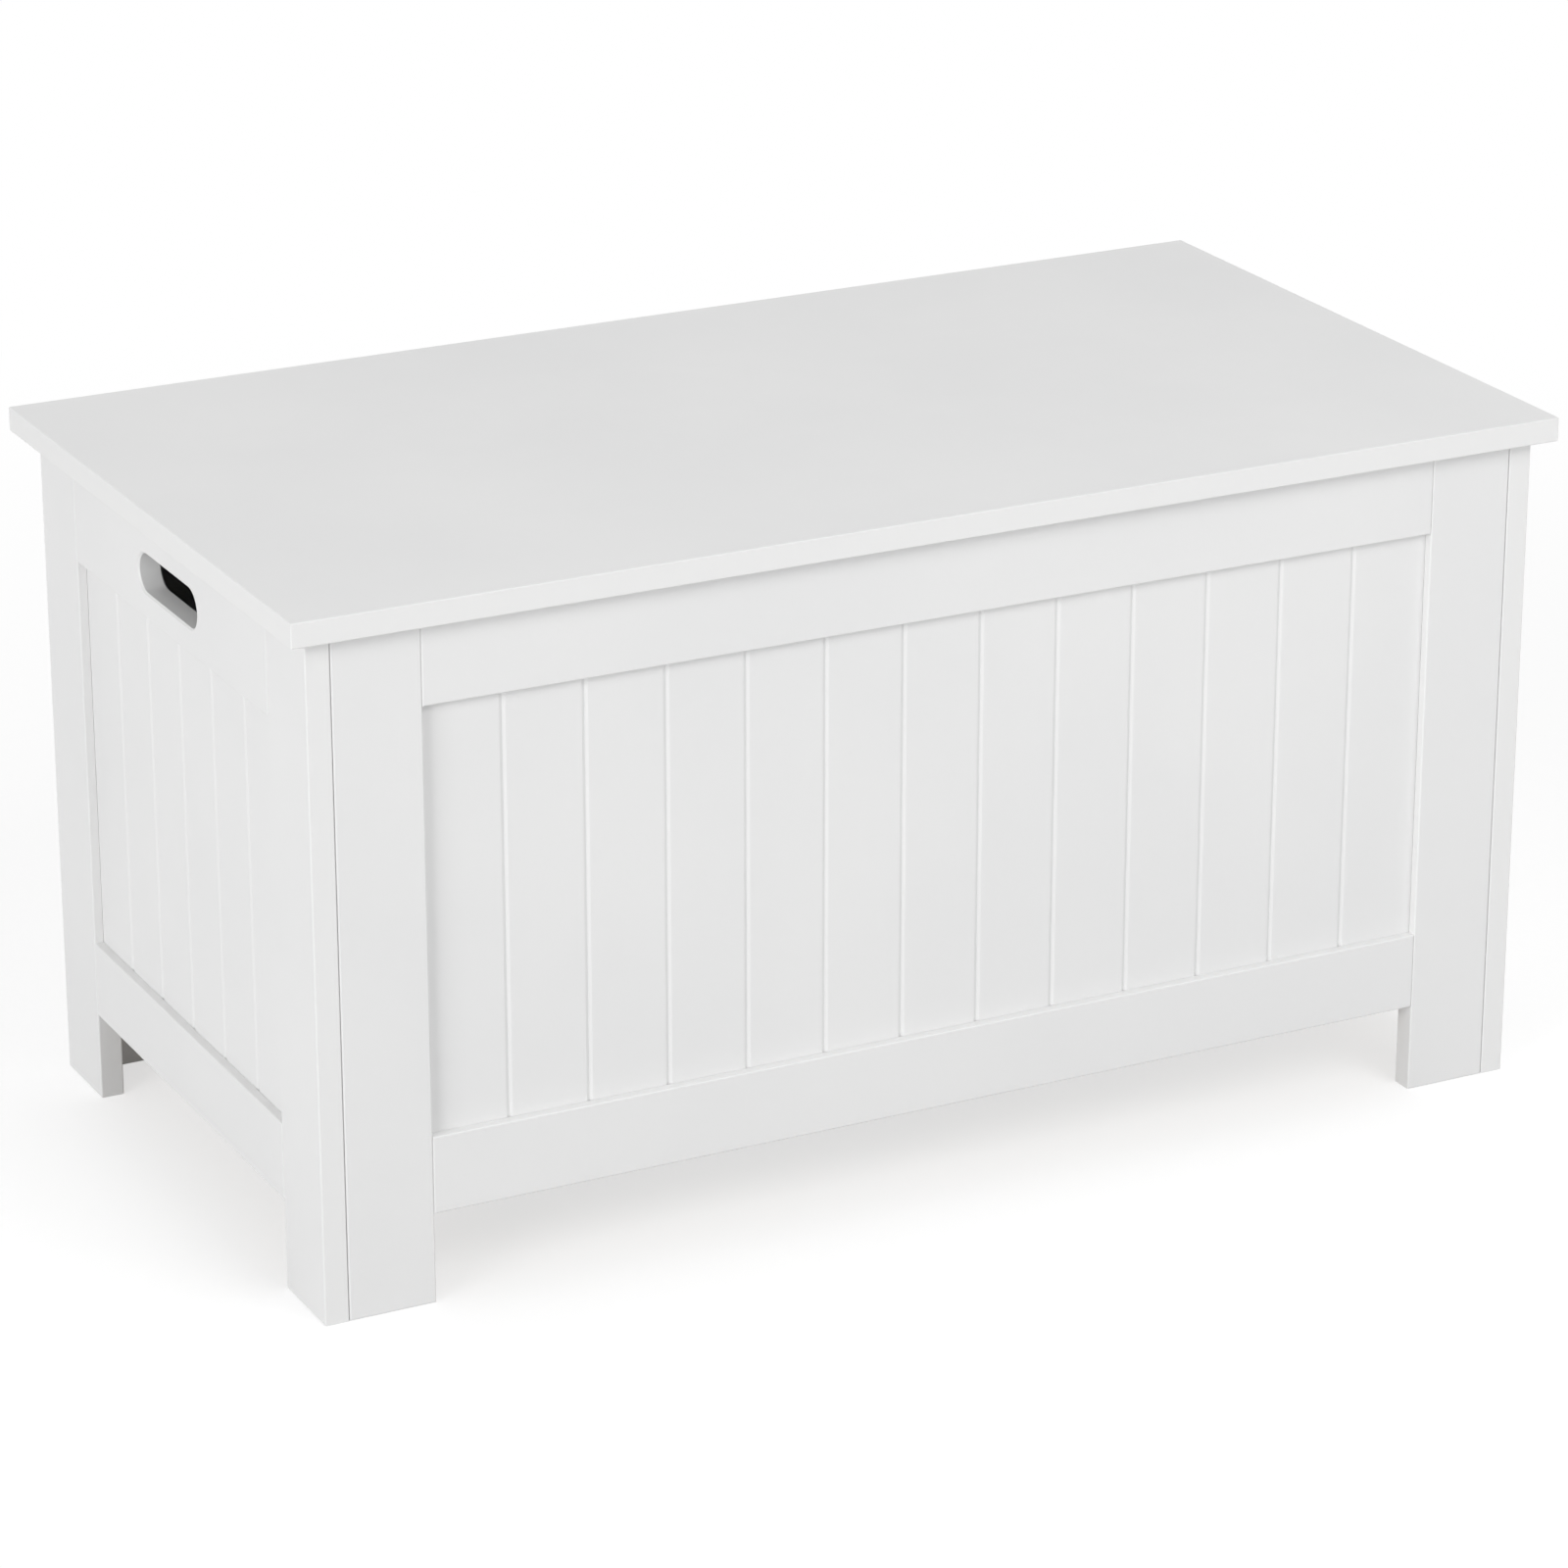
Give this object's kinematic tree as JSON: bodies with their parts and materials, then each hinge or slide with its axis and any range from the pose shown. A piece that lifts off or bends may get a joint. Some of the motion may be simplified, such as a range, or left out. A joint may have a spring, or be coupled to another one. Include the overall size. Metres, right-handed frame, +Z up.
{
  "type": "toy box",
  "caption": "White painted wooden toy box with grooved frame-and-panel walls, handle slots in the ends and a flat lid hinged at the back on folding stays.",
  "frame": {"origin": "on the floor, under the middle of the lid", "axes": "+X to the right along the front, +Y to the back, +Z up; the front faces -Y"},
  "size_m": [0.824, 0.445, 0.43],
  "materials": {
    "white_paint": "satin white paint on fibreboard",
    "white_board": "white faced fibreboard, matt",
    "pine": "bare planed pine",
    "beech": "bare beech dowel",
    "zinc_steel": "bright zinc plating",
    "white_plastic": "white nylon and adhesive caps"
  },
  "bodies": {
    "box": {"back_bottom_rail": "white_paint", "back_left_stile": "white_paint", "back_panel": "white_paint", "back_right_stile": "white_paint", "back_top_rail": "white_paint", "base_back_batten": "pine", "base_board": "white_board", "base_front_batten": "pine", "base_left_batten": "pine", "base_right_batten": "pine", "batten_screws": "zinc_steel", "corner_cam_bolts": "zinc_steel", "corner_cam_caps": "white_plastic", "corner_cam_locks": "zinc_steel", "corner_dowels": "beech", "front_bottom_rail": "white_paint", "front_left_stile": "white_paint", "front_panel": "white_paint", "front_right_stile": "white_paint", "front_top_rail": "white_paint", "hinge_box_screws": "zinc_steel", "left_bottom_rail": "white_paint", "left_front_stile": "white_paint", "left_hinge_box_leaf": "zinc_steel", "left_hinge_pin": "zinc_steel", "left_panel": "white_paint", "left_rear_stile": "white_paint", "left_stay_box_bracket": "zinc_steel", "left_stay_box_rivet": "zinc_steel", "left_stay_friction_washer": "white_plastic", "left_top_rail": "white_paint", "right_bottom_rail": "white_paint", "right_front_stile": "white_paint", "right_hinge_box_leaf": "zinc_steel", "right_hinge_pin": "zinc_steel", "right_panel": "white_paint", "right_rear_stile": "white_paint", "right_stay_box_bracket": "zinc_steel", "right_stay_box_rivet": "zinc_steel", "right_stay_friction_washer": "white_plastic", "right_top_rail": "white_paint", "stay_box_screws": "zinc_steel"},
    "lid": {"hinge_lid_screws": "zinc_steel", "left_hinge_lid_leaf": "zinc_steel", "left_stay_lid_bracket": "zinc_steel", "left_stay_lid_rivet": "zinc_steel", "lid_board": "white_paint", "right_hinge_lid_leaf": "zinc_steel", "right_stay_lid_bracket": "zinc_steel", "right_stay_lid_rivet": "zinc_steel", "stay_lid_screws": "zinc_steel"},
    "left_stay_lower": {"left_stay_elbow_rivet": "zinc_steel", "left_stay_lower_arm": "zinc_steel"},
    "left_stay_upper": {"left_stay_upper_arm": "zinc_steel"},
    "right_stay_lower": {"right_stay_elbow_rivet": "zinc_steel", "right_stay_lower_arm": "zinc_steel"},
    "right_stay_upper": {"right_stay_upper_arm": "zinc_steel"}
  },
  "joints": [
    {"name": "lid_hinge", "type": "hinge", "parent": "box", "child": "lid", "pos_m": [0, 0.2068, 0.4117], "axis": [-1, 0, 0], "range_deg": [0, 85]},
    {"name": "left_stay_lower_pivot", "type": "hinge", "parent": "box", "child": "left_stay_lower", "pos_m": [-0.381, 0.1675, 0.27], "axis": [-1, 0, 0], "range_deg": [0, 85]},
    {"name": "left_stay_elbow", "type": "hinge", "parent": "left_stay_lower", "child": "left_stay_upper", "pos_m": [-0.3785, 0.0575, 0.2553], "axis": [-1, 0, 0], "range_deg": [-85, 0]},
    {"name": "right_stay_lower_pivot", "type": "hinge", "parent": "box", "child": "right_stay_lower", "pos_m": [0.381, 0.1675, 0.27], "axis": [-1, 0, 0], "range_deg": [0, 85]},
    {"name": "right_stay_elbow", "type": "hinge", "parent": "right_stay_lower", "child": "right_stay_upper", "pos_m": [0.3785, 0.0575, 0.2553], "axis": [-1, 0, 0], "range_deg": [-85, 0]}
  ],
  "couplings": [
    {"joint": "left_stay_lower_pivot", "follows": "lid_hinge", "ratio": 1},
    {"joint": "left_stay_elbow", "follows": "lid_hinge", "ratio": -1},
    {"joint": "right_stay_lower_pivot", "follows": "lid_hinge", "ratio": 1},
    {"joint": "right_stay_elbow", "follows": "lid_hinge", "ratio": -1}
  ]
}
